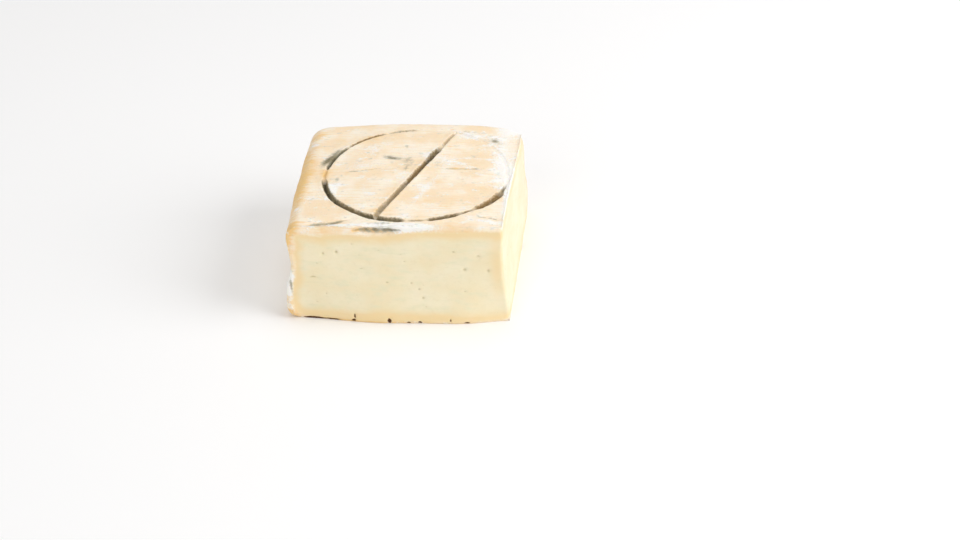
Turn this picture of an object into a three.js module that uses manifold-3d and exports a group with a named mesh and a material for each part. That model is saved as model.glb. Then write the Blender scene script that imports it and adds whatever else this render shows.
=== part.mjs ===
// A quarter of a square washed-rind soft cheese, standing on its flat underside.
//
// The front (-Y) and the right side (+X) are cut faces, left by the knife. The left side (-X), the back (+Y),
// the top and the underside carry the rind, so their edges are round. The cheese is ripe and soft: its back and
// left side bulge, its rind sides are drawn in at mid height, and the cut faces spread outwards at the foot.
// A plain press mark, a ring with a straight bar right across it, is sunk into the top.
//
// It is one piece: the rind is the cheese's own skin and doesn't come off it.
//
// Millimetres, +Z up. The origin is the centre of the underside's bounding rectangle.

import * as THREE from "three";
import { mergeVertices } from "three/addons/utils/BufferGeometryUtils.js";
import Module from "manifold-3d";

// The body, before it slumps.
const width = 100; // X, rind side to cut side
const depth = 101; // Y, cut front to rind back
const height = 47.5;

// Edge radii.
const rindEdge = 6; // where the rind turns from the top or the underside into a side
const rindCorner = 9; // the whole cheese's own upright corner, at the back left
const cutEdge = 1.6; // where the knife left the cheese
const cutTopEdge = 2.6; // where the soft rind rolls over the top of the front cut

// How the soft body stands.
const dome = 1.1; // rise of the top at its middle
const backRise = 0.8; // further rise of the top at the middle of the back
const waist = 1.5; // how far the rind sides are drawn in
const waistLevel = 0.58; // share of the height
const waistSpan = 0.17;
const belly = 1.5; // how far they swell below the waist
const bellyLevel = 0.26;
const bellySpan = 0.13;
const backBulge = 3.6; // how far the back stands out at its middle
const leftBulge = 2.3; // how far the left side stands out at the back
const leftShare = 0.25; // share of that at the front
const frontFoot = 6.0; // how far the front spreads at the bottom
const footLossLeft = 0.75; // share of that lost at the left end
const footLossRight = 0.5; // share of that lost at the right end
const sideFoot = 2.1; // how far the right side spreads at the bottom
const footLevel = 0.62; // share of the height below which they spread
const sideWaist = 0.8; // how far the right side is drawn in, towards the front
const sideWaistLevel = 0.5;
const sideWaistSpan = 0.38;
const sideLean = 1.7; // how far the right side leans out above the foot, towards the back
const cornerPull = 3.5; // how far the back right corner is pulled in
const cornerDroop = 2.0; // how far its top sinks

// The press mark.
const ringRadius = 43.2; // to the middle of the groove
const ringCentre = new THREE.Vector2(4.6, -0.5);
const grooveWidth = 3.0;
const grooveFloor = 1.6; // width of the groove at its bottom
const grooveDepth = 1.5;
const barAngle = THREE.MathUtils.degToRad(20); // clockwise from +Y, seen from above
const ringSegments = 72;
const barSegments = 24;

// Facets.
const facetsX = 26;
const facetsY = 24;
const facetsZ = 13;
const crowding = 0.5; // 0 spaces the facets evenly, and 1 crowds them to the edges

const rind = new THREE.MeshStandardMaterial({ color: 0xf3dcb8, roughness: 0.75, metalness: 0 });

const smooth = (value) => THREE.MathUtils.smoothstep(value, 0, 1);
const bell = (value, middle, span) => Math.exp(-(((value - middle) / span) ** 2));

// Moves facets towards the edges, where the surface turns. Takes and gives -1 to 1.
function crowd(share) {
  return THREE.MathUtils.lerp(share, Math.sin((share * Math.PI) / 2), crowding);
}

const half = { x: width / 2, y: depth / 2, z: height / 2 };

// Turns the rind's upright corner in a quarter circle, with its top and bottom edges following it round.
function roundRind(point) {
  const centre = { x: rindCorner - half.x, y: half.y - rindCorner };
  const out = new THREE.Vector2(Math.min(point.x - centre.x, 0), Math.max(point.y - centre.y, 0));
  const reach = Math.max(-out.x, out.y);
  if (reach === 0) return;
  const innerReach = rindCorner - rindEdge;
  const innerLevel = half.z - rindEdge;
  const a = Math.max(reach - innerReach, 0) / rindEdge;
  const b = Math.max(Math.abs(point.z) - innerLevel, 0) / rindEdge;
  const onEdge = a > 0 && b > 0;
  const squeeze = onEdge ? Math.max(a, b) / Math.hypot(a, b) : 1;
  out.setLength(onEdge ? innerReach + a * squeeze * rindEdge : reach);
  if (onEdge) point.z = Math.sign(point.z) * (innerLevel + b * squeeze * rindEdge);
  if (out.x < 0) point.x = centre.x + out.x;
  if (out.y > 0) point.y = centre.y + out.y;
}

// Each edge of a cut is the two sides that meet in it, as axis and direction, with its radius.
const cutEdges = [
  ["y", -1, "z", 1, cutTopEdge],
  ["y", -1, "z", -1, cutEdge],
  ["x", 1, "z", 1, cutEdge],
  ["x", 1, "z", -1, cutEdge],
  ["x", 1, "y", -1, cutEdge],
  ["x", -1, "y", -1, cutEdge],
  ["x", 1, "y", 1, cutEdge],
];

// Turns the square corner between two sides into a quarter circle.
function roundEdge(point, [axisA, sideA, axisB, sideB, radius]) {
  const centreA = half[axisA] - radius;
  const centreB = half[axisB] - radius;
  const a = (point[axisA] * sideA - centreA) / radius;
  const b = (point[axisB] * sideB - centreB) / radius;
  if (a <= 0 || b <= 0) return;
  const squeeze = Math.max(a, b) / Math.hypot(a, b);
  point[axisA] = sideA * (centreA + a * squeeze * radius);
  point[axisB] = sideB * (centreB + b * squeeze * radius);
}

// How far the top rises at a place when the block settles.
function riseAt(x, y) {
  const across = x / half.x;
  const back = y / half.y;
  const domed = dome * (1 - back ** 2) + backRise * smooth((back + 0.3) / 1.2);
  const drooped = cornerDroop * Math.max(across, 0) ** 8 * Math.max(back, 0) ** 6;
  return (1 - across ** 2) * domed - drooped;
}

// Lets the block settle: the top domes, the rind sides bulge and draw in, and the cut sides spread at the foot.
function slump(point) {
  const level = point.z / height + 0.5;
  const across = point.x / half.x;
  const back = point.y / half.y;
  const [left, right] = [Math.max(-across, 0) ** 2, Math.max(across, 0) ** 2];
  const [front, rear] = [Math.max(-back, 0) ** 2, Math.max(back, 0) ** 2];
  const drawnIn = waist * bell(level, waistLevel, waistSpan) - belly * bell(level, bellyLevel, bellySpan);
  const foot = smooth(1 - level / footLevel);
  const corner = right ** 4 * rear ** 3;
  const lean = sideLean * smooth(level / 0.45) * smooth((back + 0.5) / 1.2);
  const nip = sideWaist * bell(level, sideWaistLevel, sideWaistSpan) * smooth((0.3 - back) / 1.3);
  const bulge = leftBulge * (leftShare + (1 - leftShare) * smooth((back + 1) / 1.2));
  const loss = footLossLeft * smooth((-0.1 - across) / 0.9) + footLossRight * smooth((across - 0.55) / 0.45);
  point.z += riseAt(point.x, point.y) * smooth(level);
  point.x += left * (drawnIn - bulge) + right * (sideFoot * foot + lean - nip);
  point.y += rear * (backBulge * (1 - across ** 2) - drawnIn) - cornerPull * corner;
  point.y -= front * frontFoot * (1 - loss) * foot;
}

function bodyGeometry() {
  const geometry = new THREE.BoxGeometry(width, depth, height, facetsX, facetsY, facetsZ);
  const position = geometry.getAttribute("position");
  const point = new THREE.Vector3();
  for (let i = 0; i < position.count; i++) {
    point.fromBufferAttribute(position, i);
    for (const axis of ["x", "y", "z"]) point[axis] = half[axis] * crowd(point[axis] / half[axis]);
    roundRind(point);
    for (const edge of cutEdges) roundEdge(point, edge);
    slump(point);
    position.setXYZ(i, ...point);
  }
  return geometry.translate(0, 0, half.z);
}

// The groove's section, from its floor up past the top of the cheese, as distances from its middle line.
function grooveSection() {
  const floor = height - grooveDepth;
  const above = height + 1;
  const flare = (grooveWidth - grooveFloor) / (2 * grooveDepth);
  const top = grooveFloor / 2 + flare * (above - floor);
  return [
    [-grooveFloor / 2, floor],
    [grooveFloor / 2, floor],
    [top, above],
    [-top, above],
  ];
}

// Lifts a cutter with the top, so that its groove keeps its depth.
function follow(geometry) {
  const position = geometry.getAttribute("position");
  for (let i = 0; i < position.count; i++) {
    position.setZ(i, position.getZ(i) + riseAt(position.getX(i), position.getY(i)));
  }
  return geometry;
}

function ringCutter() {
  const section = grooveSection().map(([out, up]) => new THREE.Vector2(ringRadius + out, up));
  const geometry = new THREE.LatheGeometry([...section, section[0]], ringSegments);
  return follow(geometry.rotateX(Math.PI / 2).translate(ringCentre.x, ringCentre.y, 0));
}

function barCutter() {
  const shape = new THREE.Shape(grooveSection().map(([out, up]) => new THREE.Vector2(out, up)));
  const settings = { depth: 2 * ringRadius, steps: barSegments, bevelEnabled: false };
  const geometry = new THREE.ExtrudeGeometry(shape, settings);
  return follow(
    geometry
      .translate(0, 0, -ringRadius)
      .rotateX(Math.PI / 2)
      .rotateZ(-barAngle)
      .translate(ringCentre.x, ringCentre.y, 0),
  );
}

const wasm = await Module();
wasm.setup();

// A closed geometry as a solid that can be cut.
function solid(geometry) {
  geometry.deleteAttribute("normal");
  geometry.deleteAttribute("uv");
  const merged = mergeVertices(geometry, 1e-3);
  return new wasm.Manifold(
    new wasm.Mesh({
      numProp: 3,
      vertProperties: new Float32Array(merged.attributes.position.array),
      triVerts: new Uint32Array(merged.index.array),
    }),
  );
}

function geometryOf(made) {
  const mesh = made.getMesh();
  const geometry = new THREE.BufferGeometry();
  geometry.setAttribute("position", new THREE.BufferAttribute(mesh.vertProperties, 3));
  geometry.setIndex(new THREE.BufferAttribute(mesh.triVerts, 1));
  return geometry;
}

// Puts the middle of the bounding rectangle over the origin.
function centred(geometry) {
  geometry.computeBoundingBox();
  const middle = geometry.boundingBox.getCenter(new THREE.Vector3());
  geometry.translate(-middle.x, -middle.y, -geometry.boundingBox.min.z);
  geometry.computeVertexNormals();
  return geometry;
}

const cheese = new THREE.Mesh(
  centred(geometryOf(solid(bodyGeometry()).subtract(solid(ringCutter())).subtract(solid(barCutter())))),
  rind,
);
cheese.name = "cheese";

const wedge = new THREE.Group();
wedge.add(cheese);

export default wedge;
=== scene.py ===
"""A square-cut quarter of a soft washed-rind cheese, on a plain pale floor in soft studio light.

The front (-Y) and the right side (+X) are smooth cut faces of ivory paste. The left side, the back, the
top and the underside are rind. A plain press mark, a ring with a bar right across it, is sunk into the
top, and mould has settled in its grooves. The shape is worked out in millimetres round the middle of the
cheese's underside, and then put in its place in the frame.
"""

import logging
import math
import random
from dataclasses import dataclass
from enum import Enum

import bmesh
import bpy
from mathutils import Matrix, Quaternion, Vector, noise


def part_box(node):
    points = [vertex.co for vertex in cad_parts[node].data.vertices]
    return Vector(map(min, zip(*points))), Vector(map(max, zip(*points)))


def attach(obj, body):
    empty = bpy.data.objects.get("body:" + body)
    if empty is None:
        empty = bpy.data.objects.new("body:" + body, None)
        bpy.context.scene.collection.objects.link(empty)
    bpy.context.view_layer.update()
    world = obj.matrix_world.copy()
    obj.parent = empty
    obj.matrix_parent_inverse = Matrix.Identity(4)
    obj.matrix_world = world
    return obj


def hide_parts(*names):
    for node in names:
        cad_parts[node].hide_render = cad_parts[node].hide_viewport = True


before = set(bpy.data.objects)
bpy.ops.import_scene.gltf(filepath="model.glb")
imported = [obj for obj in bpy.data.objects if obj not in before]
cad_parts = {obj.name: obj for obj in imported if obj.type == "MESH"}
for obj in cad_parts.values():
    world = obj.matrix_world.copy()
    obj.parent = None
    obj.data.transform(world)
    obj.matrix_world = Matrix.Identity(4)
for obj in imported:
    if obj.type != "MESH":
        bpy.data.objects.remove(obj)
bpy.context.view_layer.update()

MM = 0.001
NODE = "cheese"
UV_NAME = "OFBake"

log = logging.getLogger("cheese")

Colour = tuple[float, float, float, float]
Socket = bpy.types.NodeSocket


# Small sums used all over ---------------------------------------------------------------------------------


def clamp(value: float) -> float:
    """Keep a value between 0 and 1."""
    return min(max(value, 0.0), 1.0)


def smooth(start: float, end: float, value: float) -> float:
    """Rise softly from 0 where value is start to 1 where it is end.

    Args:
        start: where the rise begins; it may lie above end, for a fall.
        end: where the rise ends.
        value: the place to read.

    Returns:
        The height of the soft step, 0 to 1.
    """
    share = clamp((value - start) / (end - start))
    return share * share * (3.0 - 2.0 * share)


def bell(value: float, middle: float, span: float) -> float:
    """Give a bell curve that is 1 at its middle and 0.37 one span away."""
    return math.exp(-(((value - middle) / span) ** 2))


def wander(point: Vector, size: float, seed: float) -> float:
    """Read soft noise, about -1 to 1.

    Args:
        point: the place, in millimetres.
        size: how wide one swell of the noise is, in millimetres.
        seed: moves the noise, so that two uses differ.

    Returns:
        The noise there.
    """
    return noise.noise(point / size + Vector((seed, -2.0 * seed, 3.0 * seed)))


def seen(red: int, green: int, blue: int) -> Colour:
    """Turn a colour as a screen shows it, 0 to 255, into a linear one.

    Args:
        red: share of red, 0 to 255.
        green: share of green, 0 to 255.
        blue: share of blue, 0 to 255.

    Returns:
        The linear colour, with its alpha.
    """
    linear = [((v / 255 + 0.055) / 1.055) ** 2.4 if v > 10 else v / 255 / 12.92 for v in (red, green, blue)]
    return (*linear, 1.0)


# The shape ------------------------------------------------------------------------------------------------


class Tone(Enum):
    """What a patch on the surface looks like. The value names the mesh's attribute that holds it."""

    GREY = "grey_mould"
    WHITE = "white_bloom"
    WARM = "warm_rind"
    BROWN = "brown_crust"


class Layer(Enum):
    """The other attributes that the sculpting leaves for the finish."""

    PASTE = "paste_depth"
    GROOVE = "groove_across"
    MOULD = "groove_mould"
    TAN = "groove_brown"
    EYE = "eye"


@dataclass(frozen=True)
class Settling:
    """How the soft block settles, in millimetres, and how far that takes it beyond each of its sides."""

    dome: float = 1.1  # rise of the top at its middle
    back_rise: float = 0.8  # further rise of the top at the middle of the back
    waist: float = 1.5  # how far the rind sides are drawn in
    waist_level: float = 0.58  # share of the height, as every level here
    waist_span: float = 0.17
    belly: float = 1.5  # how far they swell below the waist
    belly_level: float = 0.26
    belly_span: float = 0.13
    back_bulge: float = 3.6  # how far the back stands out at its middle
    left_bulge: float = 2.3  # how far the left side stands out at the back
    left_share: float = 0.25  # share of that at the front
    front_foot: float = 6.0  # how far the front spreads at the bottom
    foot_loss_left: float = 0.75  # share of that lost at the left end
    foot_loss_right: float = 0.5  # share of that lost at the right end
    side_foot: float = 2.1  # how far the right side spreads at the bottom
    foot_level: float = 0.62  # level below which both spread
    side_waist: float = 0.8  # how far the right side is drawn in, towards the front
    side_waist_level: float = 0.5
    side_waist_span: float = 0.38
    side_lean: float = 1.7  # how far it leans out above the foot, towards the back
    corner_pull: float = 3.5  # how far the back right corner is pulled in
    corner_droop: float = 2.0  # how far its top sinks
    out_left: float = 3.76  # how far the settled cheese stands out past each side of the block
    out_right: float = 2.35
    out_front: float = 6.0
    out_back: float = 5.03
    out_top: float = 1.42

    def rise(self, across: float, back: float) -> float:
        """Say how far the top rises at a place, given as shares of the half width and half depth."""
        domed = self.dome * (1 - back**2) + self.back_rise * smooth(-0.3, 0.9, back)
        return (1 - across**2) * domed - self.corner_droop * max(across, 0.0) ** 8 * max(back, 0.0) ** 6

    def sideways(self, across: float, back: float, level: float) -> float:
        """Say how far a place moves to the right.

        Args:
            across: the place, from -1 at the left to 1 at the right.
            back: the place, from -1 at the front to 1 at the back.
            level: the place, from 0 at the bottom to 1 at the top.

        Returns:
            The move in millimetres.
        """
        foot = self.side_foot * smooth(self.foot_level, 0.0, level)
        lean = self.side_lean * smooth(0.0, 0.45, level) * smooth(-0.5, 0.7, back)
        nip = self.side_waist * bell(level, self.side_waist_level, self.side_waist_span)
        nip *= smooth(0.3, -1.0, back)
        bulge = self.left_bulge * (self.left_share + (1.0 - self.left_share) * smooth(-1.0, 0.2, back))
        left = self.drawn_in(level) - bulge
        return max(-across, 0.0) ** 2 * left + max(across, 0.0) ** 2 * (foot + lean - nip)

    def backwards(self, across: float, back: float, level: float) -> float:
        """Say how far a place moves to the back.

        Args:
            across: the place, from -1 at the left to 1 at the right.
            back: the place, from -1 at the front to 1 at the back.
            level: the place, from 0 at the bottom to 1 at the top.

        Returns:
            The move in millimetres.
        """
        rear = max(back, 0.0) ** 2
        bulge = rear * (self.back_bulge * (1 - across**2) - self.drawn_in(level))
        corner = self.corner_pull * max(across, 0.0) ** 8 * rear**3
        loss = self.foot_loss_left * smooth(-0.1, -1.0, across)
        loss += self.foot_loss_right * smooth(0.55, 1.0, across)
        foot = self.front_foot * (1.0 - loss)
        return bulge - corner - foot * smooth(self.foot_level, 0.0, level) * max(-back, 0.0) ** 2

    def drawn_in(self, level: float) -> float:
        """Say how far the rind sides stand inside the block at a level, 0 to 1."""
        waist = self.waist * bell(level, self.waist_level, self.waist_span)
        return waist - self.belly * bell(level, self.belly_level, self.belly_span)


@dataclass(frozen=True)
class Edges:
    """Radii of the block's edges, in millimetres."""

    rind: float = 6.0  # where the rind turns from the top or the underside into a side
    corner: float = 9.0  # the whole cheese's own upright corner
    cut: float = 1.4  # where the knife left the cheese
    cut_top: float = 2.4  # where the soft rind rolls over the top of the front cut
    wobble: float = 0.35  # how much the cut edges' radius wanders
    wobble_size: float = 7.0  # over what length it does


@dataclass
class Block:
    """The block before it settles, worked out from the frame's box.

    Args:
        low: lowest corner of the cheese in the frame, in metres.
        high: highest corner of the cheese in the frame, in metres.
        settling: how the block will stand.
        edges: radii of its edges.
    """

    low: Vector
    high: Vector
    settling: Settling
    edges: Edges

    def __post_init__(self) -> None:
        """Work out the block's sides and the place of its middle."""
        size = (self.high - self.low) / MM
        settled = self.settling
        self.width = size.x - settled.out_left - settled.out_right
        self.depth = size.y - settled.out_front - settled.out_back
        self.height = size.z - settled.out_top
        self.half = Vector((self.width, self.depth, self.height)) / 2
        middle_x = self.low.x + (settled.out_left + self.half.x) * MM
        middle_y = self.low.y + (settled.out_front + self.half.y) * MM
        self.place = Vector((middle_x, middle_y, self.low.z))

    def to_frame(self, point: Vector) -> Vector:
        """Take a point from the block's millimetres to the frame's metres."""
        return self.place + point * MM

    def round_rind(self, p: Vector) -> None:
        """Turn the rind's upright corner and its top and bottom edges in quarter circles.

        Args:
            p: a point of the block, measured from its middle. It is moved.
        """
        corner, rind = self.edges.corner, self.edges.rind
        centre = Vector((corner - self.half.x, self.half.y - corner))
        out = Vector((min(p.x - centre.x, 0.0), max(p.y - centre.y, 0.0)))
        reach = max(-out.x, out.y)
        if reach == 0.0:
            return
        a = max(reach - (corner - rind), 0.0) / rind
        b = max(abs(p.z) - (self.half.z - rind), 0.0) / rind
        if a > 0.0 and b > 0.0:
            squeeze = max(a, b) / math.hypot(a, b)
            reach = corner - rind + a * squeeze * rind
            p.z = math.copysign(self.half.z - rind + b * squeeze * rind, p.z)
        out *= reach / out.length
        if out.x < 0.0:
            p.x = centre.x + out.x
        if out.y > 0.0:
            p.y = centre.y + out.y

    def round_cut(self, p: Vector, across: int, along: int, rind_side: float) -> None:
        """Turn the edge round one cut face in a small quarter circle that follows the face's outline.

        Args:
            p: a point of the block, measured from its middle. It is moved.
            across: axis that the cut face looks along: 0 for the right face, 1 for the front.
            along: the level axis that lies in the face.
            rind_side: direction along that axis in which the face ends at the rind.
        """
        face_side = 1.0 if across == 0 else -1.0
        rind = self.edges.rind
        q = Vector((p[along] * rind_side - (self.half[along] - rind), abs(p.z) - (self.half.z - rind)))
        outer = Vector((max(q.x, 0.0), max(q.y, 0.0)))
        inside = outer.length + min(max(q.x, q.y), 0.0) - rind
        if across == 0:
            inside = max(inside, -p.y - self.half.y)
        if outer.x > 0.0 and outer.y > 0.0:
            way = outer.normalized()
        else:
            way = Vector((1.0, 0.0)) if q.x > q.y else Vector((0.0, 1.0))
        if across == 0 and -p.y - self.half.y >= inside:
            way = Vector((-1.0, 0.0))
        top_share = max(way.y, 0.0) * (1.0 if p.z > 0.0 and across == 1 else 0.0)
        radius = self.edges.cut + (self.edges.cut_top - self.edges.cut) * top_share
        radius += self.edges.wobble * wander(p, self.edges.wobble_size, 4.0 + across)
        a = (inside + radius) / radius
        b = (p[across] * face_side - (self.half[across] - radius)) / radius
        if a <= 0.0 or b <= 0.0:
            return
        squeeze = max(a, b) / math.hypot(a, b)
        shift = radius * a * (squeeze - 1.0)
        p[across] = face_side * (self.half[across] - radius + b * squeeze * radius)
        p[along] += rind_side * way.x * shift
        p.z += math.copysign(way.y * shift, p.z)

    def settle(self, p: Vector) -> None:
        """Let a point go down with the soft block.

        Args:
            p: a point of the block, measured from its middle. It is moved.
        """
        level = p.z / self.height + 0.5
        across, back = p.x / self.half.x, p.y / self.half.y
        p.x += self.settling.sideways(across, back, level)
        p.y += self.settling.backwards(across, back, level)
        p.z += self.settling.rise(across, back) * smooth(0.0, 1.0, level)

    def depth_in(self, p: Vector) -> float:
        """Measure how deep a point lies under the nearest rind surface.

        Args:
            p: a point of the rounded block, measured from its middle.

        Returns:
            The depth in millimetres, about 0 on the rind.
        """
        rind = self.edges.rind
        q = Vector((-p.x - self.half.x + rind, p.y - self.half.y + rind, abs(p.z) - self.half.z + rind))
        outer = Vector((max(q.x, 0.0), max(q.y, 0.0), max(q.z, 0.0)))
        return rind - outer.length - min(max(q), 0.0)


@dataclass(frozen=True)
class Stretch:
    """A stretch of a groove where the mould has settled in its own way.

    Args:
        start: where it begins, in degrees round the ring or millimetres along the bar.
        end: where it ends.
        mould: how dark it is, 0 to 1.
        width: the groove's width there, as a share of its full width.
        brown: 0 for grey-olive mould, 1 for brown.
    """

    start: float
    end: float
    mould: float
    width: float
    brown: float

    def share(self, place: float, turn: float, soft: float) -> float:
        """Say how much a place belongs to the stretch.

        Args:
            place: degrees or millimetres, as start and end.
            turn: the length of a whole turn, in the same unit.
            soft: how long each end takes to fade.

        Returns:
            0 outside it, 1 inside.
        """
        middle, reach = (self.start + self.end) / 2, (self.end - self.start) / 2
        away = abs((place - middle + turn / 2) % turn - turn / 2)
        return smooth(reach + soft / 2, reach - soft / 2, away)


FAR_ACROSS = 4.0


@dataclass(frozen=True)
class GrooveReading:
    """What one point of the top finds of the press mark's grooves.

    Args:
        across: its distance from the nearer groove's line, in half widths, up to FAR_ACROSS.
        depth: how far the surface sinks there, in millimetres.
        mould: how dark the mould is, 0 to 1.
        brown: 0 for grey-olive mould, 1 for brown.
    """

    across: float
    depth: float
    mould: float
    brown: float


RING_STRETCHES = (
    Stretch(-10, 54, 0.03, 0.80, 0.1),
    Stretch(56, 68, 0.12, 0.60, 0.0),
    Stretch(97, 113, 0.55, 0.45, 0.3),
    Stretch(117, 142, 0.85, 0.55, 0.9),
    Stretch(145, 172, 1.00, 0.62, 0.0),
    Stretch(173, 187, 0.16, 0.50, 1.0),
    Stretch(188, 219, 1.00, 0.85, 0.1),
    Stretch(219, 243, 0.82, 0.95, 0.3),
    Stretch(242, 268, 1.00, 1.15, 0.1),
    Stretch(272, 281, 0.50, 0.50, 0.2),
    Stretch(284, 303, 1.00, 0.85, 0.4),
    Stretch(305, 313, 0.75, 0.50, 0.5),
    Stretch(315, 339, 0.85, 1.15, 0.8),
    Stretch(340, 347, 0.60, 0.50, 0.2),
)
BAR_STRETCHES = (
    Stretch(-43, -30, 0.62, 0.95, 0.3),
    Stretch(-30, -8, 0.66, 0.85, 0.5),
    Stretch(-8, 12, 0.82, 0.90, 0.7),
    Stretch(12, 26, 1.00, 1.00, 0.4),
    Stretch(29, 43, 0.40, 0.55, 0.3),
)


@dataclass(frozen=True)
class PressMark:
    """The ring and the bar right across it that are pressed into the top, in millimetres and degrees.

    Args:
        centre_x: place of the ring's middle across the cheese.
        centre_y: place of the ring's middle from front to back.
        radius: the ring's radius, to the middle of its groove.
        bar_turn: how far the bar is turned clockwise from straight back.
        ring_wobble: how far the ring's groove wanders from its line.
        bar_wobble: how far the bar's groove does.
        half_width: half the grooves' full width.
        bare_width: the grooves' width between their stretches, as a share of the full one.
        depth: the grooves' full depth.
        faint_depth: share of that where there is no mould.
        lip: height of the soft lips beside the grooves.
        lip_out: how far outside a groove its lip is highest.
        lip_span: how wide the lip is.
        swell: how far the ring bulges outwards at one place.
        swell_at: that place's angle.
        swell_span: how wide the bulge is.
        line_length: more than the bar's length, which keeps its two ends apart.
        fade_turn: the turn in which the ring's stretches fade.
        fade_along: the length in which the bar's stretches fade.
    """

    centre_x: float = 4.6
    centre_y: float = -0.5
    radius: float = 43.2
    bar_turn: float = 20.0
    ring_wobble: float = 0.5
    bar_wobble: float = 0.45
    half_width: float = 1.4
    bare_width: float = 0.5
    depth: float = 1.9
    faint_depth: float = 0.08
    lip: float = 0.16
    lip_out: float = 0.9
    lip_span: float = 0.8
    swell: float = 1.7
    swell_at: float = 328.0
    swell_span: float = 30.0
    line_length: float = 400.0
    fade_turn: float = 6.0
    fade_along: float = 7.0

    def places(self, p: Vector) -> tuple[float, float, float, float]:
        """Find a point of the top along and across the two grooves.

        Args:
            p: the point; only its X and Y count.

        Returns:
            Its angle round the ring, its distance from the ring's line, its place along the bar and its
            distance from the bar's line.
        """
        flat = Vector((p.x, p.y, 0.0))
        x, y = p.x - self.centre_x, p.y - self.centre_y
        angle = math.degrees(math.atan2(y, x)) % 360.0
        swell = self.swell * bell(angle, self.swell_at, self.swell_span)
        ring_off = math.hypot(x, y) - self.radius - swell + self.ring_wobble * wander(flat, 19.0, 1.0)
        turn = math.radians(self.bar_turn)
        along = x * math.sin(turn) + y * math.cos(turn)
        bar_off = x * math.cos(turn) - y * math.sin(turn) + self.bar_wobble * wander(flat, 12.0, 2.0)
        return angle, ring_off, along, math.hypot(bar_off, max(abs(along) - self.radius, 0.0))

    def off(self, p: Vector) -> float:
        """Measure how far a point of the top is from the nearer groove's line, in millimetres."""
        _, ring_off, _, bar_off = self.places(p)
        return min(abs(ring_off), bar_off)

    def reading(self, p: Vector) -> GrooveReading:
        """Read the grooves at a point of the top.

        Args:
            p: the point; only its X and Y count.

        Returns:
            The nearer groove's reading.
        """
        angle, ring_off, along, bar_off = self.places(p)
        ring = self.groove(p, ring_off, RING_STRETCHES, angle, 360.0, self.fade_turn)
        bar = self.groove(p, bar_off, BAR_STRETCHES, along, self.line_length, self.fade_along)
        nearer = ring if ring.across < bar.across else bar
        depth = max(ring.depth, bar.depth) if max(ring.depth, bar.depth) > 0 else ring.depth + bar.depth
        return GrooveReading(nearer.across, depth, nearer.mould, nearer.brown)

    def groove(
        self, p: Vector, off: float, stretches: tuple[Stretch, ...], place: float, turn: float, soft: float
    ) -> GrooveReading:
        """Read one groove.

        Args:
            p: the point.
            off: its distance from the groove's middle line.
            stretches: the groove's own stretches.
            place: where along the groove it lies.
            turn: the length of a whole turn of the groove.
            soft: how long the stretches' ends take to fade.

        Returns:
            The reading. Its depth is above 0 inside the groove and a little below 0 on the lips.
        """
        shares = [stretch.share(place, turn, soft) for stretch in stretches]
        total = max(sum(shares), 1.0)
        mould = sum(s.mould * share for s, share in zip(stretches, shares)) / total
        brown = sum(s.brown * share for s, share in zip(stretches, shares)) / total
        width = self.bare_width * (1.0 - min(sum(shares), 1.0))
        width += sum(s.width * share for s, share in zip(stretches, shares)) / total
        half_width = self.half_width * width * (1.0 + 0.18 * wander(p, 3.0, 3.0))
        across = abs(off) / half_width
        shallow = self.faint_depth + (1.0 - self.faint_depth) * min(mould * 1.3, 1.0)
        depth = self.depth * min(shallow, 0.45 + width) * smooth(1.2, 0.5, across)
        depth -= self.lip * shallow * bell(abs(off), half_width + self.lip_out, self.lip_span)
        return GrooveReading(min(across, FAR_ACROSS), depth, mould, brown)


# A patch has nothing further off than this, in reaches along Z, or in reaches squared in any direction.
PATCH_HEIGHT = 2.5
PATCH_END = 7.0


@dataclass(frozen=True)
class Patch:
    """A soft-edged patch of mould, bloom or colour, in millimetres.

    Args:
        tone: what it looks like.
        x: place of its middle across the cheese.
        y: place of its middle from front to back.
        z: height of its middle.
        size: reach along its own X, Y and Z.
        strength: how strong it is at the middle.
        turn: degrees that it is turned anticlockwise, seen from above.
        sunk: how deep the surface sinks at its middle; below 0 it swells.
    """

    tone: Tone
    x: float
    y: float
    z: float
    size: tuple[float, float, float]
    strength: float
    turn: float = 0.0
    sunk: float = 0.0

    def share(self, p: Vector) -> float:
        """Say how much of the patch a point has, 0 to 1."""
        dx, dy, dz = p.x - self.x, p.y - self.y, p.z - self.z
        if abs(dz) > PATCH_HEIGHT * self.size[2]:
            return 0.0
        cosine, sine = math.cos(math.radians(self.turn)), math.sin(math.radians(self.turn))
        along = (dx * cosine + dy * sine) / self.size[0]
        across = (dy * cosine - dx * sine) / self.size[1]
        away = along * along + across * across + (dz / self.size[2]) ** 2
        return math.exp(-away) if away < PATCH_END else 0.0


TOP = 48.0
TOP_REACH = 5.0
FOOT = -55.6
FOOT_REACH = 4.0


def on_top(tone: Tone, *places: tuple[float, ...]) -> list[Patch]:
    """Make patches that lie on the top.

    Args:
        tone: what they look like.
        places: for each patch its x, y, reach along its own X, reach along its own Y and strength, and
            perhaps its turn and how deep it sinks.

    Returns:
        The patches.
    """
    return [
        Patch(tone, x, y, TOP, (reach_x, reach_y, TOP_REACH), *rest)
        for x, y, reach_x, reach_y, *rest in places
    ]


def at_foot(*places: tuple[float, ...]) -> list[Patch]:
    """Make brown cracks along the foot of the front.

    Args:
        places: for each crack its x, z, reach along X, reach along Z, strength and how deep it sinks.

    Returns:
        The cracks' patches.
    """
    return [
        Patch(Tone.BROWN, x, FOOT, z, (reach_x, FOOT_REACH, reach_z), strength, 0.0, sunk)
        for x, z, reach_x, reach_z, strength, sunk in places
    ]


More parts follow.
